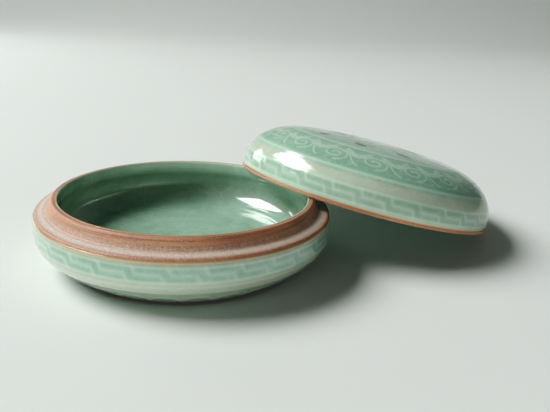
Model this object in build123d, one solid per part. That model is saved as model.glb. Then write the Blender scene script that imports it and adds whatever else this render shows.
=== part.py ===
from build123d import *
import os
from math import atan2, cos, degrees, radians, sin

# A low round covered box in inlaid celadon: a bowl with a bare clay seat and collar, and a
# domed lid that has been taken off and leans on the collar. Millimetres, +Z up, with the
# origin at the centre of the bowl's foot, on the surface that the foot stands on.

# overall sizes
rim_radius = 47.5            # bare edge where the bowl and the lid meet
seat_height = 17.9           # outer edge of the bowl's seat above the table
bowl_floor_height = 5.2      # clay floor of the bowl at its centre

# the bowl's seat and collar
seat_width = 3.6             # from the rim's edge in to the root of the collar
seat_rise = 0.9              # the seat climbs this much from its edge to the collar
collar_height = 3.4          # above the root of the collar
collar_lean = 2.0            # the collar's outside leans in by this much
collar_thickness = 1.5       # across its top
seat_edge_round = 0.9
collar_round = 0.6
collar_root_round = 0.7

# the bowl's belly, seen from the rim down: a wall, a tight bend and a long flat bend
belly_bend_radius = 7.0
belly_bend_turn = 48.0
belly_flat_radius = 75.0
belly_flat_turn = 8.3
belly_end_height = 0.54      # where the flat bend would end above the table

# the foot ring
foot_set_in = 1.2            # from the end of the belly's bend
foot_width = 3.8
foot_height = 1.2
foot_round = 0.35
base_recess = 1.7

# the bowl's inside, from the opening down: a neck that swells out, then a bend to a dished floor
cavity_neck_radius = 3.0
cavity_neck_turn = 25.0
cavity_bend_radius = 8.0
floor_slope = 5.0            # where the floor meets the bend

# the lid, in its own frame: its rim edge on z = 0 and its axis on +Z
lid_rim_height = 1.9         # bare band round the rim
lid_rim_flare = 0.4          # the bare band stands this far out of the wall
lid_seat_clearance = 0.5     # lid rim round the root of the collar
lid_rim_round = 0.45
lid_wall_height = 3.3
lid_bend_radius = 13.4
lid_bend_turn = 56.0
lid_hip_radius = 29.3
lid_hip_turn = 28.0

# how the lid leans
lean_direction = 32.0        # degrees from +X towards +Y
lean_offset = 74.0           # from the bowl's axis to the middle of the lid's rim
lean_gap = 0.10              # between the lid's rim and the collar that it rests on

# the coats and the inlays
glaze = 0.4
inlay_depth = 0.45
line_width = 0.7
glaze_edge_drop = 0.9        # bare clay below the seat's edge
foot_glaze_gap = 0.5         # bare clay above the foot

# the band of fret in low relief, which a pale line borders above and below
fret_height = 3.9
fret_top_drop = 2.4          # below the edge of the bowl's seat
lid_fret_base = 3.0          # above the lid's rim edge

# rings below the bowl's fret
belly_ring_count = 3
belly_ring_pitch = 2.0
belly_ring_drop = 1.9        # below the fret band

# the lid's top, measured in from the lid's wall
shoulder_line_inset = 3.5
circle_line_inset = 14.1
leaf_inset = 22.1            # the middle of each leaf
leaf_count = 10
leaf_length = 5.2
leaf_width = 2.2
leaf_lean = 38.0

collar_root_radius = rim_radius - seat_width
collar_top_radius = collar_root_radius - collar_lean
opening_radius = collar_top_radius - collar_thickness
seat_root_height = seat_height + seat_rise
collar_top_height = seat_root_height + collar_height
lid_wall_radius = rim_radius - lid_rim_flare
lid_rim_inner_radius = collar_root_radius + lid_seat_clearance
lid_wall = lid_wall_radius - lid_rim_inner_radius
rim_fall = seat_rise * (rim_radius - lid_rim_inner_radius) / seat_width
glaze_foot_height = foot_height + foot_glaze_gap
fret_top = seat_height - fret_top_drop
fret_bottom = fret_top - fret_height


# An open run of tangent lines and arcs in the plane of a profile, (radius, height). A step is
# (length, 0) for a straight stretch or (radius, turn in degrees) for an arc. A last step of
# None is an arc that arrives level on the axis. Growing the run by t moves every point along
# its normal, away from the centres of the bends on the side that the run closes round.
def tangent_run(start, heading, side, steps, t=0.0):
    x = start[0] + t * side * sin(radians(heading))
    y = start[1] - t * side * cos(radians(heading))
    edges = []
    for step in steps:
        if step is None:
            turn = side * 180 - heading
            size = abs(x / sin(radians(turn))) - t
        else:
            size, turn = step
        if turn == 0:
            end = (x + size * cos(radians(heading)), y + size * sin(radians(heading)))
            edges.append(Line((x, y), end))
        else:
            sense = 1 if turn > 0 else -1
            radius = size + t * side * sense
            centre_x = x - sense * radius * sin(radians(heading))
            centre_y = y + sense * radius * cos(radians(heading))
            first = degrees(atan2(y - centre_y, x - centre_x))
            edges.append(CenterArc((centre_x, centre_y), radius, first, turn))
            heading = heading + turn
            x_end = centre_x + sense * radius * sin(radians(heading))
            end = (x_end, centre_y - sense * radius * cos(radians(heading)))
        x, y = end
    return edges, end


# The area between a run and the axis, closed off level at the height called base
def area_inside(edges, start, end, base):
    outline = list(edges)
    corners = [end, (0, end[1]), (0, base), (start[0], base), start]
    for first, second in zip(corners, corners[1:]):
        if abs(first[0] - second[0]) + abs(first[1] - second[1]) > 1e-6:
            outline.append(Line(first, second))
    return make_face(outline)


belly_bends = [(belly_bend_radius, -belly_bend_turn), (belly_flat_radius, -belly_flat_turn)]
belly_end = tangent_run((rim_radius, 0), -90, -1, belly_bends)[1]
bowl_wall_depth = seat_height + belly_end[1] - belly_end_height
foot_radius = belly_end[0] - foot_set_in
foot_inner_radius = foot_radius - foot_width


def belly_area(t=0.0):
    steps = [(bowl_wall_depth, 0)] + belly_bends
    edges, end = tangent_run((rim_radius, seat_height), -90, -1, steps, t)
    return area_inside(edges, (rim_radius + t, seat_height), end, seat_height)


def cavity_area(t=0.0):
    bend_turn = 90 - floor_slope + cavity_neck_turn
    bends = [(cavity_neck_radius, cavity_neck_turn), (cavity_bend_radius, -bend_turn), None]
    top = collar_top_height + 1
    depth = tangent_run((opening_radius, 0), -90, -1, bends)[1][1]
    wall = top + depth - bowl_floor_height
    edges, end = tangent_run((opening_radius, top), -90, -1, [(wall, 0)] + bends, t)
    return area_inside(edges, (opening_radius + t, top), end, top)


def lid_area(t=0.0):
    steps = [(lid_wall_height, 0), (lid_bend_radius, lid_bend_turn), (lid_hip_radius, lid_hip_turn), None]
    edges, end = tangent_run((lid_wall_radius, 0), 90, 1, steps, t)
    return area_inside(edges, (lid_wall_radius + t, 0), end, 0)


def window(r_low, r_high, z_low, z_high):
    return Pos((r_low + r_high) / 2, (z_low + z_high) / 2) * Rectangle(r_high - r_low, z_high - z_low)


def heights(z_low, z_high):
    return window(0, 2 * rim_radius, z_low, z_high)


def radii(r_low, r_high):
    return window(r_low, r_high, 0, 2 * rim_radius)


def spin(area):
    return revolve(Plane.XZ * area, Axis.Z, 360)


# The rim of the bowl: its seat, its collar and the top of the inside wall
def bowl_rim_area():
    low = seat_height - bowl_wall_depth / 2
    points = [(rim_radius, low), (rim_radius, seat_height), (collar_root_radius, seat_root_height),
              (collar_top_radius, collar_top_height), (opening_radius, collar_top_height), (opening_radius, low)]
    rounds = [seat_edge_round, collar_root_round, collar_round, collar_round]
    return make_face([FilletPolyline(*points, radius=rounds), Line(points[-1], points[0])])


def foot_area():
    foot = window(foot_inner_radius, foot_radius, 0, foot_height + 1)
    return fillet([v for v in foot.vertices() if v.Y < foot_round], foot_round)


def bowl_clay_blank():
    wall = belly_area() & heights(foot_height, seat_height - bowl_wall_depth / 2)
    area = wall + bowl_rim_area() + foot_area() - cavity_area()
    return spin(area - window(0, foot_inner_radius, -1, base_recess))


def lid_clay_blank():
    dome = lid_area() & heights(lid_rim_height, 2 * rim_radius)
    points = [(lid_wall_radius, lid_rim_height), (rim_radius, lid_rim_height / 2), (rim_radius, 0),
              (lid_rim_inner_radius, rim_fall), (lid_rim_inner_radius, lid_rim_height)]
    rounds = [lid_rim_round, lid_rim_round, lid_rim_round]
    rim = make_face([FilletPolyline(*points, radius=rounds), Line(points[-1], points[0])])
    return spin(dome + rim - (lid_area(-lid_wall) & heights(lid_rim_height, 2 * rim_radius)))


# The coats of glaze
def bowl_outer_glaze():
    coat = (belly_area(glaze) - belly_area()) & heights(glaze_foot_height, seat_height - glaze_edge_drop)
    return spin(coat)


def bowl_inner_glaze():
    return spin((cavity_area() - cavity_area(-glaze)) & heights(0, collar_top_height - collar_round))


def bowl_base_glaze():
    return spin(window(0, foot_inner_radius - foot_round, base_recess - glaze, base_recess))


def lid_outer_glaze():
    return spin((lid_area(glaze) - lid_area()) & heights(lid_rim_height, 2 * rim_radius))


def lid_inner_glaze():
    inside = lid_area(-lid_wall) - lid_area(-lid_wall - glaze)
    return spin(inside & heights(lid_rim_height, 2 * rim_radius))


# A skin of clay just under the surface, which an inlay is let into
def belly_skin(part):
    return (belly_area() - belly_area(-inlay_depth)) & part


def lid_skin(part):
    return (lid_area() - lid_area(-inlay_depth)) & part


# The plain lines that border the bowl's fret, and the rings below it
def bowl_borders():
    rings = [heights(fret_top, fret_top + line_width), heights(fret_bottom - line_width, fret_bottom)]
    for k in range(belly_ring_count):
        top = fret_bottom - belly_ring_drop - k * belly_ring_pitch
        rings.append(heights(top - line_width, top))
    return [spin(belly_skin(ring)) for ring in rings]


def lid_borders():
    lid_fret_top = lid_fret_base + fret_height
    rings = [heights(lid_fret_base - line_width, lid_fret_base), heights(lid_fret_top, lid_fret_top + line_width)]
    for radius in (lid_wall_radius - shoulder_line_inset, lid_wall_radius - circle_line_inset):
        rings.append(radii(radius - line_width, radius))
    return [spin(lid_skin(ring)) for ring in rings]


# Dark leaves in a ring on the lid's crown, drawn in plan and pushed down through it
def lid_leaves():
    middle = lid_wall_radius - leaf_inset
    drawing = Pos(middle, 0) * Rot(0, 0, leaf_lean) * Ellipse(leaf_length / 2, leaf_width / 2)
    leaf = spin(lid_skin(radii(0, middle + leaf_length))) & extrude(drawing, 2 * rim_radius)
    return [Rot(0, 0, 360.0 * k / leaf_count) * leaf for k in range(leaf_count)]


# The lid's tilt follows from what it touches: the outer edge of its rim on the table, and the
# face of its rim on the outer edge of the collar's top.
def rim_centre_height(tilt):
    return (rim_radius - lid_rim_round) * sin(tilt) + lid_rim_round * (1 - cos(tilt))


# Height of a circle on the lid's rim where it crosses above the edge of the collar's top
def height_over_collar(tilt, radius, fall):
    along = lean_offset + fall * sin(tilt)
    flat = radius * cos(tilt)
    share = -1.0
    for k in range(30):
        bow = (radius * share) ** 2 - (flat * share) ** 2
        span = collar_top_radius ** 2 - radius ** 2 - along ** 2
        share = (span + bow) / (2 * along * flat)
    return rim_centre_height(tilt) + fall * cos(tilt) - radius * share * sin(tilt)


def lean_angle():
    low, high = 0.01, 1.0
    for k in range(50):
        tilt = (low + high) / 2
        inner = height_over_collar(tilt, lid_rim_inner_radius, rim_fall)
        outer = height_over_collar(tilt, rim_radius - lid_rim_round, 0)
        if min(inner, outer) < collar_top_height + lean_gap:
            low = tilt
        else:
            high = tilt
    return low


def lean(shape):
    tilt = lean_angle()
    tipped = Pos(lean_offset, 0, rim_centre_height(tilt)) * Rot(0, degrees(tilt), 0) * shape
    return Rot(0, 0, lean_direction) * tipped


def write(name, shapes):
    solids = [solid for shape in shapes for solid in shape.solids()]
    whole = solids[0] if len(solids) == 1 else Compound(solids)
    export_step(whole, "parts/" + name + ".step")
    print(name, len(solids), round(sum(solid.volume for solid in solids), 2))


def main():
    os.makedirs("parts", exist_ok=True)
    bowl_rings = bowl_borders()
    lid_rings = lid_borders()
    leaves = lid_leaves()
    write("bowl_clay", [bowl_clay_blank() - bowl_rings])
    write("bowl_outer_glaze", [bowl_outer_glaze()])
    write("bowl_inner_glaze", [bowl_inner_glaze()])
    write("bowl_base_glaze", [bowl_base_glaze()])
    write("bowl_border_inlay", bowl_rings)
    write("lid_clay", [lean(lid_clay_blank() - lid_rings - leaves)])
    write("lid_outer_glaze", [lean(lid_outer_glaze())])
    write("lid_inner_glaze", [lean(lid_inner_glaze())])
    write("lid_border_inlay", [lean(ring) for ring in lid_rings])
    write("lid_leaf_inlay", [lean(leaf) for leaf in leaves])
    print("lid leans at", round(degrees(lean_angle()), 2), "degrees")


main()
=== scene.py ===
import math
import bmesh
import bpy
import numpy as np
from mathutils import Matrix, Vector


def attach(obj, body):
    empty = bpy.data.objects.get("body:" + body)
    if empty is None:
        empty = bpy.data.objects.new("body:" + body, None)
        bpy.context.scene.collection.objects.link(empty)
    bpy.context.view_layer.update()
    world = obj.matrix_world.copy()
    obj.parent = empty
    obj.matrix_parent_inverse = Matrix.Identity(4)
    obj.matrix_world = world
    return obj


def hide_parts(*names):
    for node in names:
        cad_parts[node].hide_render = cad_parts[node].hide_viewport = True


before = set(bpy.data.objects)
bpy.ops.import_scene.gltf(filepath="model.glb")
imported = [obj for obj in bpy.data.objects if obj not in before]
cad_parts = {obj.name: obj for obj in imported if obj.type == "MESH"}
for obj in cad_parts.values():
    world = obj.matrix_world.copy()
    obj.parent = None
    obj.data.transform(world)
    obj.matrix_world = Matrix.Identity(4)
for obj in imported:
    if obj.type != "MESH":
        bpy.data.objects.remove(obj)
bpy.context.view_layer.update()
mm = 0.001                      # shapes are in millimetres, the scene is in metres
onAxis = 1e-4                   # a smaller radius counts as the axis

bowlShape = {
    "rimRadius": 47.5, "seatHeight": 17.9, "wallDepth": 5.497,
    "bendRadius": 7.0, "bendTurn": 48.0,             # below the wall
    "flatRadius": 75.0, "flatTurn": 8.3,             # down to the foot
    "seatRootRadius": 43.9, "seatRise": 0.9, "seatEdgeRound": 0.9,
    "collarTopRadius": 41.9, "collarHeight": 3.4, "collarRound": 0.6, "collarRootRound": 0.7,
    "openingRadius": 40.4, "lipDepth": 1.5, "hollowFrom": 1.9, "neckRadius": 3.0, "neckTurn": 25.0,
    "cavityBend": 8.0, "floorSlope": 5.0, "floorHeight": 5.2,
    "footRadius": 35.412, "footInnerRadius": 31.612, "footHeight": 1.2, "footRound": 0.35,
    "baseRecess": 1.7, "baseRings": (0, 10, 20, 28), "glazeTop": 17.35, "glazeFoot": 1.35,
}
collarTop = bowlShape["seatHeight"] + bowlShape["seatRise"] + bowlShape["collarHeight"]

lidShape = {
    "wallRadius": 47.1, "wallHeight": 3.3, "wall": 2.7,
    "bendRadius": 13.4, "bendTurn": 56.0, "hipRadius": 29.3, "hipTurn": 28.0,
    "rimRadius": 47.5, "rimHeight": 1.9, "rimInnerRadius": 44.4, "rimFall": 0.775, "rimRound": 0.45,
    "glazeInset": 0.05, "glazeDrop": 0.75,           # where the glaze starts on the rim
    "leanDirection": 32.0, "leanAngle": 14.71, "leanOffset": 74.0,
}

glazeCoat = {
    "depth": 0.4, "sink": 0.12,                      # above the clay's surface, and below it
    "thinning": 0.35, "leastReach": 0.03, "edgeReach": 0.55,      # towards an open edge
    "backEvery": 5,                                  # the hidden face has one ring for so many
}

meshSteps = {
    "round": 640, "leastRound": 20,                  # points in a ring, fewer near the axis
    "corner": 0.28, "foot": 0.5, "belly": 1.2, "cavity": 0.9,     # between rings on the bowl
    "bellyGlaze": 0.30, "lip": 0.2, "insideGlaze": 0.40,
    "dome": 0.8, "domeInside": 1.2, "domeGlaze": 0.42, "domeInsideGlaze": 0.5,    # and on the lid
    "stroke": 0.7,                                   # along a drawn line
}


# Profiles are lists of (radius, height)
# A run of tangent lines (length, 0) and arcs (radius, turn); None arrives level on the axis
def sampledRun(start, heading, side, steps, spacing, grow=0.0):
    x = start[0] + grow * side * math.sin(math.radians(heading))
    y = start[1] - grow * side * math.cos(math.radians(heading))
    points = [(x, y)]
    for step in steps:
        if step is None:
            turn = side * 180 - heading
            size = abs(x / math.sin(math.radians(turn))) - grow
        else:
            size, turn = step
        if turn == 0:
            count = max(1, round(abs(size) / spacing))
            dx = math.cos(math.radians(heading)) * size
            dy = math.sin(math.radians(heading)) * size
            points += [(x + dx * k / count, y + dy * k / count) for k in range(1, count + 1)]
        else:
            sense = 1 if turn > 0 else -1
            radius = size + grow * side * sense
            cx = x - sense * radius * math.sin(math.radians(heading))
            cy = y + sense * radius * math.cos(math.radians(heading))
            count = max(2, round(abs(radius * math.radians(turn)) / spacing))
            for k in range(1, count + 1):
                at = math.radians(heading + turn * k / count)
                points.append((cx + sense * radius * math.sin(at), cy - sense * radius * math.cos(at)))
            heading += turn
        x, y = points[-1]
    return points


# A polyline with its inner corners rounded
def roundedLine(corners, rounds, spacing):
    points = [corners[0]]
    for before, here, after, radius in zip(corners, corners[1:], corners[2:], rounds):
        a = Vector(before) - Vector(here)
        b = Vector(after) - Vector(here)
        half = a.angle(b) / 2
        reach = radius / math.tan(half)
        first = Vector(here) + a.normalized() * reach
        last = Vector(here) + b.normalized() * reach
        centre = Vector(here) + (a.normalized() + b.normalized()).normalized() * radius / math.sin(half)
        points += straight(points[-1], tuple(first), spacing)
        count = max(4, round(radius * (math.pi - 2 * half) / spacing))
        for k in range(1, count + 1):
            swing = (first - centre).normalized().slerp((last - centre).normalized(), k / count)
            points.append(tuple(centre + swing * radius))
    points += straight(points[-1], corners[-1], spacing)
    return points


def straight(start, end, spacing):
    count = max(1, round(math.dist(start, end) / spacing))
    return [(start[0] + (end[0] - start[0]) * k / count,
             start[1] + (end[1] - start[1]) * k / count) for k in range(1, count + 1)]


def bellyRun(spacing):
    s = bowlShape
    steps = [(s["wallDepth"], 0), (s["bendRadius"], -s["bendTurn"]), (s["flatRadius"], -s["flatTurn"])]
    return sampledRun((s["rimRadius"], s["seatHeight"]), -90, -1, steps, spacing)


def cavityRun(spacing):
    s = bowlShape
    bendTurn = 90 - s["floorSlope"] + s["neckTurn"]
    bends = [(s["neckRadius"], s["neckTurn"]), (s["cavityBend"], -bendTurn), None]
    depth = sampledRun((s["openingRadius"], 0), -90, -1, bends, 0.05)[-1][1]
    top = collarTop + 1         # starts over the collar, and is cut where it is used
    wall = top + depth - s["floorHeight"]
    return sampledRun((s["openingRadius"], top), -90, -1, [(wall, 0)] + bends, spacing)


def lidRun(spacing, above, grow=0.0):
    s = lidShape
    steps = [(s["wallHeight"], 0), (s["bendRadius"], s["bendTurn"]), (s["hipRadius"], s["hipTurn"]), None]
    run = sampledRun((s["wallRadius"], 0), 90, 1, steps, spacing, grow)
    return [p for p in run if p[1] > s["rimHeight"] + above]


# A run cut off exactly at two heights
def cutRun(points, low, high):
    margin = 0.02               # no point stands closer to a cut than this
    ends = []
    for level in (low, high):
        for a, b in zip(points, points[1:]):
            if (a[1] - level) * (b[1] - level) < 0:
                share = (level - a[1]) / (b[1] - a[1])
                ends.append((a[0] + share * (b[0] - a[0]), level))
    kept = [p for p in points if low + margin < p[1] < high - margin]
    lowEnd = [p for p in ends if p[1] == low]
    highEnd = [p for p in ends if p[1] == high]
    falling = points[-1][1] < points[0][1]
    return highEnd + kept + lowEnd if falling else lowEnd + kept + highEnd


def runLengths(points):
    lengths = [0.0]
    for a, b in zip(points, points[1:]):
        lengths.append(lengths[-1] + math.dist(a, b))
    return lengths


# How far along a profile it comes to a height, or to a radius
def alongAtHeight(surface, height):
    lengths = runLengths(surface)
    heights = [p[1] for p in surface]
    if heights[0] > heights[-1]:
        return float(np.interp(height, heights[::-1], lengths[::-1]))
    return float(np.interp(height, heights, lengths))


def alongAtRadius(surface, radius):
    return float(np.interp(-radius, [-p[0] for p in surface], runLengths(surface)))


# A mesh turned from rings of (radius, height, points round, side, edge)
# side is 1 on the face that is seen, edge is 1 at the very edge of a coat, a ring on the axis is a pole
def turnedMesh(name, rings, material, loop=False):
    coords, sides, edges, rows = [], [], [], []
    for radius, height, count, side, edge in rings:
        if radius < onAxis:
            count = 1
            radius = 0.0
        rows.append(list(range(len(coords), len(coords) + count)))
        for k in range(count):
            a = 2 * math.pi * k / count
            coords.append((radius * math.cos(a), radius * math.sin(a), height))
        sides += [side] * count
        edges += [edge] * count
    faces = []
    pairs = list(zip(rows, rows[1:])) + ([(rows[-1], rows[0])] if loop else [])
    for a, b in pairs:
        if len(a) < len(b):
            a, b = b, a
        n, m = len(a), len(b)
        if m == 1:
            faces += [(a[k], a[(k + 1) % n], b[0]) for k in range(n)]
        elif n == m:
            faces += [(a[k], a[(k + 1) % n], b[(k + 1) % n], b[k]) for k in range(n)]
        else:
            for k in range(m):
                one, two, three = a[2 * k], a[2 * k + 1], a[(2 * k + 2) % n]
                faces += [(one, two, b[k]), (two, b[(k + 1) % m], b[k]), (two, three, b[(k + 1) % m])]
    mesh = bpy.data.meshes.new(name)
    mesh.from_pydata([(x * mm, y * mm, z * mm) for x, y, z in coords], [], faces)
    build = bmesh.new()
    build.from_mesh(mesh)
    bmesh.ops.recalc_face_normals(build, faces=build.faces)
    build.to_mesh(mesh)
    build.free()
    mesh.polygons.foreach_set("use_smooth", [True] * len(mesh.polygons))
    for key, values in (("side", sides), ("edge", edges)):
        mesh.attributes.new(key, "FLOAT", "POINT").data.foreach_set("value", values)
    home = mesh.attributes.new("home", "FLOAT_VECTOR", "POINT")     # the place before the lean, for patterns
    home.data.foreach_set("vector", [c * mm for p in coords for c in p])
    mesh.materials.append(material)
    piece = bpy.data.objects.new(name, mesh)
    bpy.context.collection.objects.link(piece)
    return piece


def stepsAt(radius):
    full = meshSteps["round"]
    count = full
    while count > meshSteps["leastRound"] and radius < bowlShape["rimRadius"] * count / full * 0.5:
        count //= 2
    return count


def sheetRings(points, side, edges=None):
    edges = edges or [0.0] * len(points)
    return [(radius, height, stepsAt(radius), side, edge) for (radius, height), edge in zip(points, edges)]


def normalAt(points, k, outward):
    before, after = points[max(k - 1, 0)], points[min(k + 1, len(points) - 1)]
    dx, dy = after[0] - before[0], after[1] - before[1]
    size = math.hypot(dx, dy)
    nx, ny = outward * -dy / size, outward * dx / size
    return (0.0, ny / abs(ny)) if points[k][0] < onAxis else (nx, ny)


# A coat: its seen face stands off the clay and thins out to its open edges, its hidden face sinks in
def coatRings(points, outward, bothEnds=False, extra=None):
    c = glazeCoat
    lengths = runLengths(points)
    front, edges = [], []
    for k, (p, s) in enumerate(zip(points, lengths)):
        nx, ny = normalAt(points, k, outward)
        rise = c["depth"]
        edge = 0.0
        for far in (s, lengths[-1] - s) if bothEnds else (s,):
            rise *= 1 - math.exp(-(far + c["leastReach"]) / c["thinning"])
            edge = max(edge, math.exp(-far / c["edgeReach"]))
        if extra:
            rise += extra(p)
        front.append((p[0] + nx * rise, p[1] + ny * rise))
        edges.append(edge)
    coarse = list(range(0, len(points), c["backEvery"]))
    if coarse[-1] != len(points) - 1:
        coarse.append(len(points) - 1)
    back = []
    for k in coarse:
        nx, ny = normalAt(points, k, outward)
        back.append((points[k][0] - nx * c["sink"], points[k][1] - ny * c["sink"]))
    return front, edges, back


# A coat that ends on the axis, or one with two open edges, with the profile of its seen face
def coatPiece(name, material, points, outward, bothEnds=False, extra=None):
    front, edges, back = coatRings(points, outward, bothEnds, extra)
    if bothEnds:
        rings = sheetRings(front, 1.0, edges) + sheetRings(back[::-1], 0.0)
    else:
        rings = sheetRings(front[::-1], 1.0, edges[::-1]) + sheetRings(back, 0.0)
    return turnedMesh(name, rings, material, bothEnds), front


def leanMatrix():
    s = lidShape
    tilt = math.radians(s["leanAngle"])
    height = (s["rimRadius"] - s["rimRound"]) * math.sin(tilt) + s["rimRound"] * (1 - math.cos(tilt))
    turn = Matrix.Rotation(math.radians(s["leanDirection"]), 4, "Z")
    return turn @ Matrix.Translation((s["leanOffset"] * mm, 0, height * mm)) @ Matrix.Rotation(tilt, 4, "Y")


def finishPiece(piece, body, nodes):
    if body == "lid":
        piece.data.transform(leanMatrix())
    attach(piece, body)
    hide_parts(*nodes)
    triangles = sum(len(p.vertices) - 2 for p in piece.data.polygons)
    print(piece.name, len(piece.data.vertices), "points", triangles, "triangles")


# Links a socket to another node's, or gives it a plain value
def feed(tree, socket, value):
    if isinstance(value, bpy.types.NodeSocket):
        tree.links.new(value, socket)
    elif value is not None:
        socket.default_value = value


# A node with its settings and then its inputs, by name or number
def addNode(tree, kind, inputs=None, **settings):
    node = tree.nodes.new(kind)
    for key, value in settings.items():
        setattr(node, key, value)
    for key, value in (inputs or {}).items():
        feed(tree, node.inputs[key], value)
    return node


def maths(tree, operation, *values, kind="ShaderNodeMath", output=0):
    node = addNode(tree, kind, dict(enumerate(values)), operation=operation)
    return node.outputs[output]


def vectorMaths(tree, operation, *values, output=0):
    return maths(tree, operation, *values, kind="ShaderNodeVectorMath", output=output)


def vectorOf(tree, **parts):
    return addNode(tree, "ShaderNodeCombineXYZ", parts).outputs[0]


# A value's range mapped to another one, with soft ends
def mapped(tree, value, low, high, toLow=0.0, toHigh=1.0):
    inputs = {"Value": value, "From Min": low, "From Max": high, "To Min": toLow, "To Max": toHigh}
    return addNode(tree, "ShaderNodeMapRange", inputs, interpolation_type="SMOOTHSTEP").outputs[0]


def noise(tree, vector, scale, detail=3.0, rough=0.5, output=0):
    inputs = {"Vector": vector, "Scale": scale, "Detail": detail, "Roughness": rough}
    return addNode(tree, "ShaderNodeTexNoise", inputs).outputs[output]


# Gives a node group its named inputs and outputs
def openGroup(tree, inputs, outputs):
    for label, kind, value in inputs:
        socket = tree.interface.new_socket(label, in_out="INPUT", socket_type="NodeSocket" + kind)
        if value is not None:
            socket.default_value = value
    for label, kind in outputs:
        tree.interface.new_socket(label, in_out="OUTPUT", socket_type="NodeSocket" + kind)
    return addNode(tree, "NodeGroupInput").outputs, addNode(tree, "NodeGroupOutput").inputs


# Relief: a motif repeated round a piece, and raised out of its glaze along the lines
def buildRaisedStrokes():
    tree = bpy.data.node_groups.new("raisedStrokes", "GeometryNodeTree")
    tree.is_modifier = True
    given, result = openGroup(tree, [
        ("Geometry", "Geometry", None), ("Motif", "Object", None), ("Count", "Int", 1),
        ("Turn Offset", "Float", 0.0), ("Line Width", "Float", 0.001), ("Softness", "Float", 0.0003),
        ("Height", "Float", 0.0002), ("Mask Name", "String", "line"), ("Glaze", "Material", None),
    ], [("Geometry", "Geometry")])
    index = addNode(tree, "GeometryNodeInputIndex")
    share = maths(tree, "DIVIDE", index.outputs[0], given["Count"])
    turn = maths(tree, "MULTIPLY_ADD", share, 2 * math.pi, given["Turn Offset"])
    motif = addNode(tree, "GeometryNodeObjectInfo", {"Object": given["Motif"]})
    spots = addNode(tree, "GeometryNodePoints", {"Count": given["Count"]})
    copies = addNode(tree, "GeometryNodeInstanceOnPoints", {
        "Points": spots.outputs[0], "Instance": motif.outputs["Geometry"],
        "Rotation": vectorOf(tree, Z=turn)})
    lines = addNode(tree, "GeometryNodeRealizeInstances", {0: copies.outputs[0]})
    near = addNode(tree, "GeometryNodeProximity", {0: lines.outputs[0]}, target_element="EDGES")
    half = maths(tree, "MULTIPLY", given["Line Width"], 0.5)
    inner = maths(tree, "SUBTRACT", half, given["Softness"])
    outer = maths(tree, "ADD", half, given["Softness"])
    ramp = mapped(tree, near.outputs["Distance"], inner, outer, 1.0, 0.0)
    side = addNode(tree, "GeometryNodeInputNamedAttribute", {"Name": "side"}, data_type="FLOAT")
    mask = maths(tree, "MULTIPLY", ramp, side.outputs[0])
    store = addNode(tree, "GeometryNodeStoreNamedAttribute", {
        "Geometry": given["Geometry"], "Name": given["Mask Name"], "Value": mask,
    }, data_type="FLOAT", domain="POINT")
    normal = addNode(tree, "GeometryNodeInputNormal")
    lift = maths(tree, "MULTIPLY", mask, given["Height"])
    push = vectorMaths(tree, "SCALE", normal.outputs[0], None, None, lift)
    move = addNode(tree, "GeometryNodeSetPosition", {"Geometry": store.outputs[0], "Offset": push})
    whole = addNode(tree, "GeometryNodeRealizeInstances", {0: move.outputs[0]})
    paint = addNode(tree, "GeometryNodeSetMaterial", {
        "Geometry": whole.outputs[0], "Material": given["Glaze"]})
    tree.links.new(paint.outputs[0], result[0])
    return tree


# A stroke drawn as (degrees round, distance along the profile) and laid on a turned surface
def motifObject(name, strokes, surface):
    lengths = runLengths(surface)
    radii = [p[0] for p in surface]
    heights = [p[1] for p in surface]
    coords, edges = [], []
    for stroke in strokes:
        line = [stroke[0]]
        for a, b in zip(stroke, stroke[1:]):
            radius = float(np.interp(a[1], lengths, radii))
            size = math.hypot(math.radians(b[0] - a[0]) * radius, b[1] - a[1])
            count = max(1, math.ceil(size / meshSteps["stroke"]))
            line += [(a[0] + (b[0] - a[0]) * k / count, a[1] + (b[1] - a[1]) * k / count)
                     for k in range(1, count + 1)]
        first = len(coords)
        for degrees, along in line:
            radius = float(np.interp(along, lengths, radii)) * mm
            height = float(np.interp(along, lengths, heights)) * mm
            a = math.radians(degrees)
            coords.append((radius * math.cos(a), radius * math.sin(a), height))
        edges += [(first + k, first + k + 1) for k in range(len(line) - 1)]
    mesh = bpy.data.meshes.new(name)
    mesh.from_pydata(coords, edges, [])
    motif = bpy.data.objects.new(name, mesh)
    bpy.context.collection.objects.link(motif)
    return motif


# Raises motifs, given as (name, strokes, look), and keeps the result as the piece's own plain mesh
def raiseMotifs(piece, surface, motifs, glaze):
    drawn = []
    for name, strokes, look in motifs:
        drawn.append(motifObject(name, strokes, surface))
        relief = piece.modifiers.new(look["mask"], "NODES")
        relief.node_group = raisedStrokes
        values = {"Motif": drawn[-1], "Count": look["count"], "Glaze": glaze, "Mask Name": look["mask"],
                  "Turn Offset": math.radians(look.get("offset", 0.0)), "Line Width": look["width"] * mm,
                  "Softness": look["softness"] * mm, "Height": look["height"] * mm}
        for item in raisedStrokes.interface.items_tree:
            if item.in_out == "INPUT" and item.name in values:
                relief[item.identifier] = values[item.name]
    piece.update_tag()
    graph = bpy.context.evaluated_depsgraph_get()
    result = bpy.data.meshes.new_from_object(piece.evaluated_get(graph), preserve_all_data_layers=True,
                                             depsgraph=graph)
    piece.modifiers.clear()
    piece.data = result
    result.name = piece.name
    for motif in drawn:
        bpy.data.objects.remove(motif)


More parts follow.
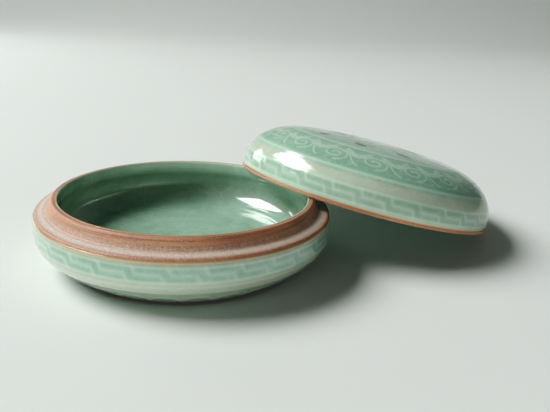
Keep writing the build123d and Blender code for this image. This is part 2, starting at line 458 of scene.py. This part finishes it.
# A band between two values, with soft edges
def buildSoftBand():
    tree = bpy.data.node_groups.new("softBand", "ShaderNodeTree")
    given, result = openGroup(tree, [("Value", "Float", 0.0), ("Low", "Float", 0.0), ("High", "Float", 1.0),
                                     ("Softness", "Float", 0.1)], [("Mask", "Float")])
    sides = []
    for upper, lower in (("Value", "Low"), ("High", "Value")):
        gap = maths(tree, "SUBTRACT", given[upper], given[lower])
        sides.append(mapped(tree, maths(tree, "DIVIDE", gap, given["Softness"]), -1.0, 1.0))
    tree.links.new(maths(tree, "MULTIPLY", *sides), result[0])
    return tree


# Small dark or pale grains scattered through a surface
def buildGrain():
    tree = bpy.data.node_groups.new("potGrain", "ShaderNodeTree")
    given, result = openGroup(tree, [("Vector", "Vector", None), ("Scale", "Float", 1500.0),
                                     ("Coverage", "Float", 0.3)], [("Mask", "Float")])
    thinnest, reach, blur = 0.72, 0.4, 0.09          # noise level where grains start, and their softness
    level = noise(tree, given["Vector"], given["Scale"], 2.0, 0.6)
    edge = maths(tree, "SUBTRACT", thinnest, maths(tree, "MULTIPLY", given["Coverage"], reach))
    tree.links.new(mapped(tree, level, edge, maths(tree, "ADD", edge, blur)), result[0])
    return tree


# The fine lines that throwing and turning leave round a pot, and the scrape marks across them
def buildWheelMarks():
    tree = bpy.data.node_groups.new("wheelMarks", "ShaderNodeTree")
    given, result = openGroup(tree, [
        ("Vector", "Vector", None), ("Rings", "Float", 900.0), ("Chatter", "Float", 60.0),
    ], [("Ring", "Float"), ("Scrape", "Float"), ("Radius", "Float"), ("Height", "Float")])
    ringWander, scrapeSlant = 0.0012, 4.0            # metres round the pot, and drift along its profile
    split = addNode(tree, "ShaderNodeSeparateXYZ", {0: given["Vector"]}).outputs
    flat = vectorOf(tree, X=split["X"], Y=split["Y"])
    radius = vectorMaths(tree, "LENGTH", flat, output="Value")
    unit = vectorMaths(tree, "NORMALIZE", flat)
    along = maths(tree, "SUBTRACT", radius, split["Z"])
    around = vectorMaths(tree, "SCALE", unit, None, None, ringWander)     # rings hardly change with the turn
    ringSpot = vectorMaths(tree, "ADD", around, vectorOf(tree, Z=along))
    slant = maths(tree, "MULTIPLY", along, scrapeSlant)     # scrapes hardly change along the profile
    scrapeSpot = vectorMaths(tree, "ADD", unit, vectorOf(tree, Z=slant))
    for label, value in (("Ring", noise(tree, ringSpot, given["Rings"], 2.0, 0.5)),
                         ("Scrape", noise(tree, scrapeSpot, given["Chatter"], 2.0, 0.6)),
                         ("Radius", radius), ("Height", split["Z"])):
        tree.links.new(value, result[label])
    return tree


raisedStrokes = buildRaisedStrokes()
softBand = buildSoftBand()
potGrain = buildGrain()
wheelMarks = buildWheelMarks()


def attribute(tree, name, output="Fac"):
    return addNode(tree, "ShaderNodeAttribute", attribute_name=name).outputs[output]


def effect(tree, group, **inputs):
    return addNode(tree, "ShaderNodeGroup", inputs, node_tree=group).outputs


def bandAt(tree, value, low, high, softness):
    return effect(tree, softBand, Value=value, Low=low * mm, High=high * mm, Softness=softness * mm)[0]


def mixColour(tree, mask, first, second, amount=1.0):
    factor = mask if amount == 1.0 else maths(tree, "MULTIPLY", mask, amount)
    first, second = (c + (1.0,) if isinstance(c, tuple) else c for c in (first, second))
    return addNode(tree, "ShaderNodeMix", {0: factor, 6: first, 7: second}, data_type="RGBA").outputs[2]


# Colours laid over a first one, each as (mask, colour, amount)
def layered(tree, colours, first, layers):
    colour = colours[first]
    for mask, tone, amount in layers:
        colour = mixColour(tree, mask, colour, colours[tone], amount)
    return colour


# Bands as (where, low, high, softness, colour, amount), where is "Radius" or "Height"
def bandLayers(tree, marks, bands):
    return [(bandAt(tree, marks[where], low, high, softness), tone, amount)
            for where, low, high, softness, tone, amount in bands]


# Bumps laid over one another, each as (height, strength, distance)
def bumped(tree, *layers):
    normal = None
    for height, strength, distance in layers:
        inputs = {"Strength": strength, "Distance": distance, "Height": height, "Normal": normal}
        normal = addNode(tree, "ShaderNodeBump", inputs).outputs[0]
    return normal


def newMaterial(name):
    material = bpy.data.materials.new(name)
    material.use_nodes = True
    return material, material.node_tree, material.node_tree.nodes["Principled BSDF"].inputs


glazeColours = {
    "mid": (0.285, 0.455, 0.345), "deep": (0.165, 0.325, 0.225), "light": (0.380, 0.570, 0.450),
    "pale": (0.560, 0.700, 0.570), "beige": (0.470, 0.465, 0.360), "toast": (0.480, 0.220, 0.085),
    "cream": (0.560, 0.600, 0.450), "speck": (0.060, 0.070, 0.050), "olive": (0.265, 0.280, 0.175),
    "moss": (0.075, 0.150, 0.100),
}
glazeFinish = {
    "rings": 420.0, "chatter": 14.0, "cloud": (70.0, 3.0, 0.55), "fine": (420.0, 4.0, 0.6),    # per metre
    "crackScale": 150.0, "longCrackScale": 62.0, "crackWidth": 0.035, "longCrackWidth": 0.022,
    "wander": (160.0, 2.0, 0.5), "wanderBy": (0.004, 0.004, 0.004),    # how the crackle strays
    "grainScale": 900.0, "grainCover": 0.04, "grainAmount": 0.5,
    "cloudLight": (0.35, 0.68, "light", 0.55),       # mask from, mask to, colour, amount
    "cloudDeep": (0.52, 0.30, "deep", 0.30),
    "ringLight": (0.45, 0.62, "light", 0.22), "finePale": (0.45, 0.7, "pale", 0.16),
    "edgeCream": (0.05, 0.45, "cream", 0.55), "edgeToast": (0.40, 0.95, "toast", 0.85),
    "roughness": (0.3, 0.75, 0.07, 0.16), "ior": 1.58, "coatRoughness": 0.05,
    "ringBump": (0.35, 0.00025), "fineBump": (0.12, 0.0002), "crackBump": (-0.10, 0.00008),
}


# Bands are listed as for bandLayers, lines as (mask attribute, colour, amount)
def celadonGlaze(name, bands=(), lines=(), crackle=0.2, longCrackle=0.08, coat=0.9, shine=0.5):
    f = glazeFinish
    material, tree, surface = newMaterial(name)
    home = attribute(tree, "home", "Vector")
    marks = effect(tree, wheelMarks, Vector=home, Rings=f["rings"], Chatter=f["chatter"])
    cloud = noise(tree, home, *f["cloud"])
    fine = noise(tree, home, *f["fine"])
    wander = noise(tree, home, *f["wander"], output="Color")
    astray = vectorMaths(tree, "MULTIPLY_ADD", wander, f["wanderBy"], home)
    cracks = []
    for key in ("crack", "longCrack"):
        cells = addNode(tree, "ShaderNodeTexVoronoi", {"Vector": astray, "Scale": f[key + "Scale"]},
                        feature="DISTANCE_TO_EDGE")
        cracks.append(mapped(tree, cells.outputs["Distance"], f[key + "Width"], 0.0))
    grain = effect(tree, potGrain, Vector=home, Scale=f["grainScale"], Coverage=f["grainCover"])[0]
    edge = attribute(tree, "edge")

    def toned(value, key):
        low, high, tone, amount = f[key]
        return mapped(tree, value, low, high), tone, amount

    layers = [toned(cloud, "cloudLight"), toned(cloud, "cloudDeep")]
    layers += bandLayers(tree, marks, bands)
    layers += [toned(marks["Ring"], "ringLight"), toned(fine, "finePale")]
    layers += [(attribute(tree, mask), tone, amount) for mask, tone, amount in lines]
    layers += [(cracks[0], "pale", crackle), (cracks[1], "pale", longCrackle)]
    layers += [(grain, "speck", f["grainAmount"]), toned(edge, "edgeCream"), toned(edge, "edgeToast")]
    feed(tree, surface["Base Color"], layered(tree, glazeColours, "mid", layers))
    feed(tree, surface["Roughness"], mapped(tree, fine, *f["roughness"]))
    feed(tree, surface["IOR"], f["ior"])
    feed(tree, surface["Specular IOR Level"], shine)
    feed(tree, surface["Coat Weight"], coat)
    feed(tree, surface["Coat Roughness"], f["coatRoughness"])
    feed(tree, surface["Normal"], bumped(tree, (marks["Ring"], *f["ringBump"]), (fine, *f["fineBump"]),
                                         (cracks[0], *f["crackBump"])))
    return material


# ironAndShade colours the real iron specks and the painted shade at the foot
clayColours = {
    "rust": (0.365, 0.165, 0.092), "brown": (0.160, 0.085, 0.055), "sand": (0.560, 0.380, 0.270),
    "chalk": (0.730, 0.655, 0.580), "toast": (0.540, 0.275, 0.150), "ironAndShade": (0.045, 0.028, 0.022),
}
clayFinish = {
    "rings": 1300.0, "chatter": 110.0, "cloud": (55.0, 4.0, 0.6),      # per metre
    "cloudToast": (0.36, 0.66), "ringBrown": (0.46, 0.66), "scrapeChalk": (0.42, 0.68),    # mask from, to
    "scraped": (17.8, 20.2, 0.6),                    # heights where scrapes cross the clay, and softness
    "pale": (3600.0, 0.45), "dark": (1900.0, 0.22), "sugar": (4300.0, 0.60),       # grain scale, coverage
    "amounts": {"toast": 0.6, "brown": 0.6, "scrape": 0.30, "pale": 0.26, "dark": 0.40, "sugar": 0.45},
    "roughness": (0.3, 0.7, 0.36, 0.52), "ior": 1.5,
    "ringBump": (0.5, 0.0003), "scrapeBump": (0.35, 0.0003), "grainBump": (0.35, 0.0002),
}


def bareClay(name, zones):
    f = clayFinish
    material, tree, surface = newMaterial(name)
    home = attribute(tree, "home", "Vector")
    marks = effect(tree, wheelMarks, Vector=home, Rings=f["rings"], Chatter=f["chatter"])
    cloud = noise(tree, home, *f["cloud"])
    band = bandAt(tree, marks["Height"], *f["scraped"])
    scrape = maths(tree, "MULTIPLY", mapped(tree, marks["Scrape"], *f["scrapeChalk"]), band)
    pale, dark, specks = [effect(tree, potGrain, Vector=home, Scale=f[key][0], Coverage=f[key][1])[0]
                          for key in ("pale", "dark", "sugar")]
    sugar = maths(tree, "MULTIPLY", specks, band)
    amounts = f["amounts"]
    layers = [(mapped(tree, cloud, *f["cloudToast"]), "toast", amounts["toast"]),
              (mapped(tree, marks["Ring"], *f["ringBrown"]), "brown", amounts["brown"])]
    layers += bandLayers(tree, marks, zones)
    layers += [(scrape, "chalk", amounts["scrape"]), (pale, "chalk", amounts["pale"]),
               (dark, "ironAndShade", amounts["dark"]), (sugar, "ironAndShade", amounts["sugar"])]
    feed(tree, surface["Base Color"], layered(tree, clayColours, "rust", layers))
    feed(tree, surface["Roughness"], mapped(tree, cloud, *f["roughness"]))
    feed(tree, surface["IOR"], f["ior"])
    feed(tree, surface["Normal"], bumped(tree, (marks["Ring"], *f["ringBump"]),
                                         (marks["Scrape"], *f["scrapeBump"]), (pale, *f["grainBump"])))
    return material


borderGap = 0.35                # from the fret to the middle of its border lines
fretShares = (0.00, 0.10, 0.76, 0.86)                # where a step turns, in shares of its width
fretLook = {"count": 30, "width": 1.00, "softness": 0.65, "height": 0.07, "mask": "fretLine"}
ringLook = {"count": 1, "width": 0.85, "softness": 0.45, "height": 0.05, "mask": "ringLine"}
petalLook = {"count": 28, "width": 0.60, "softness": 0.30, "height": 0.05, "mask": "petalLine"}
petalFillLook = {"count": 28, "width": 2.20, "softness": 0.70, "height": 0.02, "mask": "petalFill"}
ribLook = {"count": 1, "width": 0.60, "softness": 0.50, "height": 0.06, "mask": "ribLine"}

bowlPattern = {
    "fretTurn": -3.6, "fretTop": 15.5, "fretBottom": 11.6, "ribs": (9.6, 7.4),
    "petalFoot": 2.2, "petalTip": 5.0, "petalSpread": 0.96, "petalSwell": 0.55,
    "fillReach": 0.45, "fillSpread": 0.62,           # the dark heart of a petal: pooled glaze, painted darker as shade under the belly
}


def ringStroke(along):
    return [(3.0 * k, along) for k in range(121)]


# One step of the fret: a tick from the upper border, a run along the middle, a tick to the lower border
def fretStroke(upper, lower):
    unit = 360.0 / fretLook["count"]
    middle = (upper + lower) / 2
    corners = zip(fretShares, (upper, middle, middle, lower))
    return [(share * unit, along) for share, along in corners]


def petalStroke(foot, tip, spread):
    unit = 360.0 / petalLook["count"]
    line = []
    for k in range(17):
        share = k / 16
        swell = math.sin(math.pi * share) ** bowlPattern["petalSwell"]
        line.append(((share - 0.5) * unit * spread, foot + (tip - foot) * swell))
    return line


def buildBowlClay(material):
    s = bowlShape
    base = s["baseRecess"]
    foot, inner = s["footRadius"], s["footInnerRadius"]
    low = s["seatHeight"] - s["wallDepth"] / 2
    points = [(radius, base) for radius in s["baseRings"]]
    points += roundedLine([(inner, base), (inner, 0), (foot, 0), (foot, s["footHeight"])],
                          [s["footRound"], s["footRound"]], meshSteps["foot"])
    points += cutRun(bellyRun(meshSteps["belly"]), s["footHeight"], low)[::-1]
    corners = [(s["rimRadius"], low), (s["rimRadius"], s["seatHeight"]),
               (s["seatRootRadius"], s["seatHeight"] + s["seatRise"]), (s["collarTopRadius"], collarTop),
               (s["openingRadius"], collarTop), (s["openingRadius"], collarTop - s["lipDepth"])]
    rounds = [s["seatEdgeRound"], s["collarRootRound"], s["collarRound"], s["collarRound"]]
    points += roundedLine(corners, rounds, meshSteps["corner"])[1:]
    points += [p for p in cavityRun(meshSteps["cavity"]) if p[1] < collarTop - s["hollowFrom"]]
    piece = turnedMesh("bowlClay", sheetRings(points, 1.0), material)
    finishPiece(piece, "bowl", ["bowl_clay"])


def buildBowlOuterGlaze(material):
    s, p = bowlShape, bowlPattern
    points = cutRun(bellyRun(meshSteps["bellyGlaze"]), s["glazeFoot"], s["glazeTop"])
    piece, front = coatPiece("bowlOuterGlaze", material, points, 1, bothEnds=True)
    upper, lower, foot, tip = [
        alongAtHeight(front, p[key]) for key in ("fretTop", "fretBottom", "petalFoot", "petalTip")]
    heart = foot + p["fillReach"] * (tip - foot)
    raiseMotifs(piece, front, [
        ("bowlFretMotif", [fretStroke(upper, lower)], dict(fretLook, offset=p["fretTurn"])),
        ("bowlRingMotif", [ringStroke(upper - borderGap), ringStroke(lower + borderGap)], ringLook),
        ("bowlRibMotif", [ringStroke(alongAtHeight(front, rib)) for rib in p["ribs"]], ribLook),
        ("bowlPetalFillMotif", [petalStroke(foot, heart, p["fillSpread"])], petalFillLook),
        ("bowlPetalMotif", [petalStroke(foot, tip, p["petalSpread"])], petalLook),
    ], material)
    finishPiece(piece, "bowl", ["bowl_outer_glaze", "bowl_border_inlay"])


insideCoat = {
    "lipReach": 0.45, "lipDrop": 0.9, "lipRound": 0.44, "wallFrom": 1.2,           # over the collar's edge
    "waveHeight": 0.018, "waveTop": 9, "waveRadius": 38.0, "waveFade": 8.0,        # faint rings on the floor
}


def buildBowlInnerGlaze(material):
    s, c = bowlShape, insideCoat
    lip = roundedLine([(s["openingRadius"] + c["lipReach"], collarTop), (s["openingRadius"], collarTop),
                       (s["openingRadius"], collarTop - c["lipDrop"])], [c["lipRound"]], meshSteps["lip"])
    points = lip + [p for p in cavityRun(meshSteps["insideGlaze"]) if p[1] < collarTop - c["wallFrom"]]

    def throwing(p):
        if p[1] >= c["waveTop"]:
            return 0.0
        wave = math.sin(0.9 * p[0] + 1.3 * math.sin(0.31 * p[0])) + 0.35 * math.sin(2.3 * p[0] + 1.0)
        return c["waveHeight"] * wave * min(1.0, max(0.0, (c["waveRadius"] - p[0]) / c["waveFade"]))

    piece, _ = coatPiece("bowlInnerGlaze", material, points, -1, extra=throwing)
    finishPiece(piece, "bowl", ["bowl_inner_glaze"])


baseCoat = {
    "gap": 0.35, "under": 0.1, "rings": (0, *range(4, 30, 2)), "backRings": (16, 0),
    "lip": ((0.7, 0.0, 0.0), (0.3, 0.05, 0.4), (0.05, 0.18, 1.0)),     # inset, rise, edge
}


def buildBowlBaseGlaze(material):
    s, c = bowlShape, baseCoat
    rim = s["footInnerRadius"] - c["gap"]
    level = s["baseRecess"] - glazeCoat["depth"]
    front = [(radius, level) for radius in c["rings"]]
    edges = [0.0] * len(front) + [edge for inset, rise, edge in c["lip"]]
    front += [(rim - inset, level + rise) for inset, rise, edge in c["lip"]]
    back = [(radius, s["baseRecess"] + c["under"]) for radius in (rim, *c["backRings"])]
    piece = turnedMesh("bowlBaseGlaze", sheetRings(front, 1.0, edges) + sheetRings(back, 0.0), material)
    finishPiece(piece, "bowl", ["bowl_base_glaze"])


bellyGlaze = celadonGlaze("bellyGlaze", bands=[
    ("Height", 15.7, 17.5, 0.35, "olive", 0.95),
    ("Height", 11.6, 15.5, 0.30, "deep", 0.38),
    ("Height", 3.6, 11.0, 0.50, "beige", 0.65),
    ("Height", 16.9, 17.8, 0.30, "toast", 0.50),
    # painted light: a pale band low on the belly for the floor's bounce light on its underside
    ("Height", 0.5, 5.4, 0.60, "pale", 0.40),
], lines=[
    # petalFill is pooled glaze in each petal, painted darker as shade under the belly
    ("petalFill", "moss", 0.45), ("fretLine", "pale", 0.40), ("ringLine", "pale", 0.42),
    ("ribLine", "cream", 0.60), ("petalLine", "cream", 0.55),
], crackle=0.12)
insideGlaze = celadonGlaze("insideGlaze", bands=[
    ("Height", 9.0, 19.5, 2.5, "beige", 0.20),
    ("Height", 19.5, 21.6, 0.8, "cream", 0.25),
], crackle=0.10, longCrackle=0.20)
baseGlaze = celadonGlaze("baseGlaze", crackle=0.15)
bowlBareClay = bareClay("bowlBareClay", zones=[
    ("Radius", 43.4, 46.8, 0.8, "sand", 0.60),
    ("Radius", 44.6, 46.1, 0.9, "chalk", 0.80),
    ("Radius", 46.8, 48.0, 0.25, "rust", 0.75),
    # painted shade: the clay below 1.9 mm made nearly black for the contact shadow under the pot
    ("Height", -1.0, 1.9, 0.30, "ironAndShade", 0.96),
])

buildBowlClay(bowlBareClay)
buildBowlOuterGlaze(bellyGlaze)
buildBowlInnerGlaze(insideGlaze)
buildBowlBaseGlaze(baseGlaze)
print("bowl built")


lidPattern = {
    "fretBottom": 3.0, "fretTop": 7.3, "shoulderRadius": 44.2, "circleRadius": 32.6, "circleGap": 0.95,
    "scrollInner": 34.2, "scrollOuter": 42.8,
    "flowerRadius": 14.0, "flowerLength": 11.0, "flowerWidth": 6.4, "flowerLean": 0,
    "leafRadius": 25.0, "leafLength": 6.2, "leafWidth": 3.4, "leafLean": 38.0,
    "flowerRings": (1.0, 0.55), "leafRings": (0.80, 0.45, 0.15),       # ovals inside one another
}
scrollShape = {                                      # in shares of one repeat, and of the band's depth
    "spiralAt": 0.50, "spiralWidth": 0.36, "spiralMiddle": 0.44, "spiralDepth": 0.38,
    "spiralFrom": -80, "spiralTurn": 620, "spiralShrink": 0.86,
    "echoes": (0.0, 0.10, 0.20, 0.30), "echoFrom": -0.30, "echoRun": 0.72, "echoFoot": 0.98,
    "echoDip": 0.34, "echoFlatten": 0.5, "echoPower": 1.5,
    "tailFrom": 0.84, "tailRun": 0.30, "tailFoot": 0.62, "tailRise": 0.56,
}
scrollLook = {"count": 18, "width": 0.46, "softness": 0.30, "height": 0.06, "mask": "scrollLine"}
flowerLook = {"count": 10, "width": 0.55, "softness": 0.22, "height": 0.06, "mask": "flowerLine"}
leafLook = {"count": 10, "width": 1.10, "softness": 0.20, "height": 0.05, "mask": "leafFill"}


# Waves that curl over into a spiral, with echo lines under and behind each curl
def scrollStrokes(outer, inner):
    c = scrollShape
    unit = 360.0 / scrollLook["count"]
    depth = inner - outer
    spiral = []
    for k in range(40):
        share = k / 39
        turn = math.radians(c["spiralFrom"] + c["spiralTurn"] * share)
        size = 1 - c["spiralShrink"] * share
        spiral.append(((c["spiralAt"] + c["spiralWidth"] * size * math.cos(turn)) * unit,
                       outer + depth * (c["spiralMiddle"] + c["spiralDepth"] * size * math.sin(turn))))
    strokes = [spiral]
    for drop in c["echoes"]:
        sweep = []
        for k in range(17):
            share = k / 16
            dip = (c["echoDip"] - c["echoFlatten"] * drop) * math.sin(math.pi * share) ** c["echoPower"]
            sweep.append(((c["echoFrom"] + c["echoRun"] * share) * unit,
                          outer + depth * (c["echoFoot"] - drop - dip)))
        strokes.append(sweep)
    tail = []
    for k in range(15):
        share = k / 14
        rise = c["tailRise"] * math.sin(math.pi * 0.5 * share)
        tail.append(((c["tailFrom"] + c["tailRun"] * share) * unit, outer + depth * (c["tailFoot"] - rise)))
    return strokes + [tail]


# A leaf or a petal as ovals inside one another
def lensStrokes(along, radius, length, width, lean, levels):
    strokes = []
    a = math.radians(lean)
    for level in levels:
        line = []
        for k in range(25):
            t = 2 * math.pi * k / 24
            x = length / 2 * math.cos(t) * level
            y = width / 2 * math.sin(t) * level
            outward, across = x * math.cos(a) - y * math.sin(a), x * math.sin(a) + y * math.cos(a)
            line.append((math.degrees(across / radius), along - outward))
        strokes.append(line)
    return strokes


def buildLidClay(material):
    s = lidShape
    margin = 0.2                # keeps the curves clear of the rim's corners
    outer = lidRun(meshSteps["dome"], margin)
    inner = lidRun(meshSteps["domeInside"], margin, -s["wall"])
    corners = [(s["wallRadius"], s["rimHeight"]), (s["rimRadius"], s["rimHeight"] / 2), (s["rimRadius"], 0),
               (s["rimInnerRadius"], s["rimFall"]), (s["rimInnerRadius"], s["rimHeight"])]
    rim = roundedLine(corners, [s["rimRound"]] * 3, meshSteps["corner"])
    piece = turnedMesh("lidClay", sheetRings(outer[::-1] + rim + inner, 1.0), material)
    finishPiece(piece, "lid", ["lid_clay"])


def buildLidOuterGlaze(material):
    s, p = lidShape, lidPattern
    start = (s["rimRadius"] - s["glazeInset"], s["rimHeight"] - s["glazeDrop"])
    piece, front = coatPiece("lidOuterGlaze", material, [start] + lidRun(meshSteps["domeGlaze"], 0.1), -1)
    upper, lower = alongAtHeight(front, p["fretTop"]), alongAtHeight(front, p["fretBottom"])
    shoulder, circle, scrollEdge, scrollHeart = [
        alongAtRadius(front, p[key])
        for key in ("shoulderRadius", "circleRadius", "scrollOuter", "scrollInner")]
    rings = (upper + borderGap, lower - borderGap, shoulder, circle, circle + p["circleGap"])
    flower, leaf = [
        lensStrokes(alongAtRadius(front, p[kind + "Radius"]),
                    *[p[kind + part] for part in ("Radius", "Length", "Width", "Lean", "Rings")])
        for kind in ("flower", "leaf")]
    raiseMotifs(piece, front, [
        ("lidFretMotif", [fretStroke(upper, lower)], fretLook),
        ("lidRingMotif", [ringStroke(along) for along in rings], ringLook),
        ("lidScrollMotif", scrollStrokes(scrollEdge, scrollHeart), scrollLook),
        ("lidFlowerMotif", flower, flowerLook),
        ("lidLeafMotif", leaf, leafLook),
    ], material)
    finishPiece(piece, "lid", ["lid_outer_glaze", "lid_border_inlay", "lid_leaf_inlay"])


def buildLidInnerGlaze(material):
    s = lidShape
    start = (s["rimInnerRadius"], s["rimHeight"])
    points = [start] + lidRun(meshSteps["domeInsideGlaze"], 0.1, -s["wall"])
    piece, _ = coatPiece("lidInnerGlaze", material, points, 1)
    finishPiece(piece, "lid", ["lid_inner_glaze"])


lidGlaze = celadonGlaze("lidGlaze", bands=[
    ("Height", 1.5, 7.3, 0.30, "beige", 0.30),
    ("Height", 3.0, 7.3, 0.30, "deep", 0.38),
    ("Height", 7.8, 11.0, 0.50, "beige", 0.70),
    ("Radius", 33.4, 43.75, 0.50, "deep", 0.38),
    # painted shade: the outer scroll band darkened all round for the shade and dark reflection at one end of
    # the lid
    ("Radius", 39.2, 43.95, 1.20, "deep", 0.40),
], lines=[
    ("fretLine", "pale", 0.42), ("ringLine", "pale", 0.50), ("scrollLine", "pale", 0.60),
    ("flowerLine", "pale", 0.45), ("leafFill", "speck", 0.97),
], crackle=0.10, coat=0.0, shine=0.42)
lidInsideGlaze = celadonGlaze("lidInsideGlaze", crackle=0.12)
lidBareClay = bareClay("lidBareClay", zones=[("Height", -0.5, 1.2, 0.6, "toast", 0.4)])

buildLidClay(lidBareClay)
buildLidOuterGlaze(lidGlaze)
buildLidInnerGlaze(lidInsideGlaze)
print("lid built")


studio = {
    "floorColour": (0.72, 0.755, 0.725), "tintScale": 9.0, "tintDepth": 0.97, "tintFade": (0.08, 0.75),
    "floorRoughness": 0.7, "floorShine": 0.2,
    "floorStart": -3.0, "floorHalf": 4.0, "sweepAt": 1.6, "sweepRound": 0.7, "sweepTop": 2.4,
    "worldColour": (0.90, 0.94, 0.90), "worldStrength": 0.075, "backdropColour": (0.52, 0.55, 0.53),
    "toneCurve": ((0.03, 0.014), (0.08, 0.058), (0.20, 0.200), (0.42, 0.435), (0.75, 0.752)),
}
lamps = {
    "windowLight": {"azimuth": 171.0, "elevation": 45.5, "away": 2.6, "width": 1.86, "height": 1.22,
                    "power": 16.9, "spread": 71.0},
    "sideLight": {"azimuth": 138.0, "elevation": 13.0, "away": 1.0, "width": 0.34, "height": 0.26,
                  "power": 1.15},
    "frontLight": {"azimuth": -112.0, "elevation": 2.2, "away": 1.3, "width": 1.60, "height": 0.09,
                   "power": 8.4, "glossy": False},
}
lampsAimAt = (0.02, 0.0, 0.01)
cameraLook = {
    "place": (0.02957, -0.21634, 0.08889), "pitch": 17.95, "roll": 2.3, "lens": 45.25,
    "sensor": 36.0, "nearest": 0.005, "farthest": 20.0,
}


# A floor that sweeps up far behind the pot
def buildFloor():
    s = studio
    start, bend, steps = s["sweepAt"] - s["sweepRound"], s["sweepRound"], 12
    profile = [(s["floorStart"], 0.0), (start, 0.0)]
    for k in range(1, steps + 1):
        a = math.radians(90 * k / steps)
        profile.append((start + bend * math.sin(a), bend * (1 - math.cos(a))))
    profile.append((s["sweepAt"], s["sweepTop"]))
    coords = [(x, y, z) for y, z in profile for x in (-s["floorHalf"], s["floorHalf"])]
    faces = [(2 * k, 2 * k + 1, 2 * k + 3, 2 * k + 2) for k in range(len(profile) - 1)]
    mesh = bpy.data.meshes.new("studioFloor")
    mesh.from_pydata(coords, [], faces)
    mesh.polygons.foreach_set("use_smooth", [True] * len(mesh.polygons))
    floor = bpy.data.objects.new("studioFloor", mesh)
    bpy.context.collection.objects.link(floor)
    material, tree, surface = newMaterial("paperFloor")
    place = addNode(tree, "ShaderNodeTexCoord").outputs["Object"]
    darker = tuple(s["tintDepth"] * c for c in s["floorColour"])
    tint = mixColour(tree, noise(tree, place, s["tintScale"], 2.0), s["floorColour"], darker)
    reach = mapped(tree, vectorMaths(tree, "LENGTH", place, output="Value"), *s["tintFade"])
    feed(tree, surface["Base Color"], mixColour(tree, reach, tint, s["floorColour"]))
    feed(tree, surface["Roughness"], s["floorRoughness"])
    feed(tree, surface["Specular IOR Level"], s["floorShine"])
    mesh.materials.append(material)


def addLamp(name, look):
    lamp = bpy.data.lights.new(name, "AREA")
    lamp.shape = "RECTANGLE"
    lamp.size = look["width"]
    lamp.size_y = look["height"]
    lamp.energy = look["power"]
    lamp.spread = math.radians(look.get("spread", 180.0))
    holder = bpy.data.objects.new(name, lamp)
    a, e = math.radians(look["azimuth"]), math.radians(look["elevation"])
    way = Vector((math.cos(a) * math.cos(e), math.sin(a) * math.cos(e), math.sin(e)))
    holder.location = way * look["away"] + Vector(lampsAimAt)
    holder.rotation_euler = way.to_track_quat("Z", "Y").to_euler()
    holder.visible_glossy = look.get("glossy", True)
    bpy.context.collection.objects.link(holder)


# A dim world, and a backdrop that only the camera sees
def buildWorld():
    world = bpy.data.worlds.new("studioWorld")
    world.use_nodes = True
    tree = world.node_tree
    dim = tree.nodes["Background"]
    feed(tree, dim.inputs[0], studio["worldColour"] + (1.0,))
    feed(tree, dim.inputs[1], studio["worldStrength"])
    backdrop = addNode(tree, "ShaderNodeBackground", {0: studio["backdropColour"] + (1.0,)})
    sight = addNode(tree, "ShaderNodeLightPath")
    choose = addNode(tree, "ShaderNodeMixShader", {
        0: sight.outputs["Is Camera Ray"], 1: dim.outputs[0], 2: backdrop.outputs[0]})
    feed(tree, tree.nodes["World Output"].inputs["Surface"], choose.outputs[0])
    bpy.context.scene.world = world


def setTones():
    view = bpy.context.scene.view_settings
    view.view_transform = "Standard"
    view.use_curve_mapping = True      # a little more contrast in the shadows
    curve = view.curve_mapping.curves[3]
    for at, level in studio["toneCurve"]:
        curve.points.new(at, level)
    view.curve_mapping.update()


def buildCamera():
    s = cameraLook
    pitch, roll = math.radians(s["pitch"]), math.radians(s["roll"])
    ahead = Vector((0, math.cos(pitch), -math.sin(pitch)))
    up = Vector((0, math.sin(pitch), math.cos(pitch)))
    right = Vector((1, 0, 0))
    imageRight = right * math.cos(roll) + up * math.sin(roll)
    imageUp = up * math.cos(roll) - right * math.sin(roll)
    data = bpy.data.cameras.new("studioCamera")
    data.lens = s["lens"]
    data.sensor_width = s["sensor"]
    data.sensor_fit = "HORIZONTAL"
    data.clip_start = s["nearest"]
    data.clip_end = s["farthest"]
    camera = bpy.data.objects.new("studioCamera", data)
    turn = Matrix((imageRight, imageUp, -ahead)).transposed().to_4x4()
    camera.matrix_world = Matrix.Translation(s["place"]) @ turn
    bpy.context.collection.objects.link(camera)
    bpy.context.scene.camera = camera


buildFloor()
for lampName, lampLook in lamps.items():
    addLamp(lampName, lampLook)
buildWorld()
setTones()
buildCamera()
print("studio built")
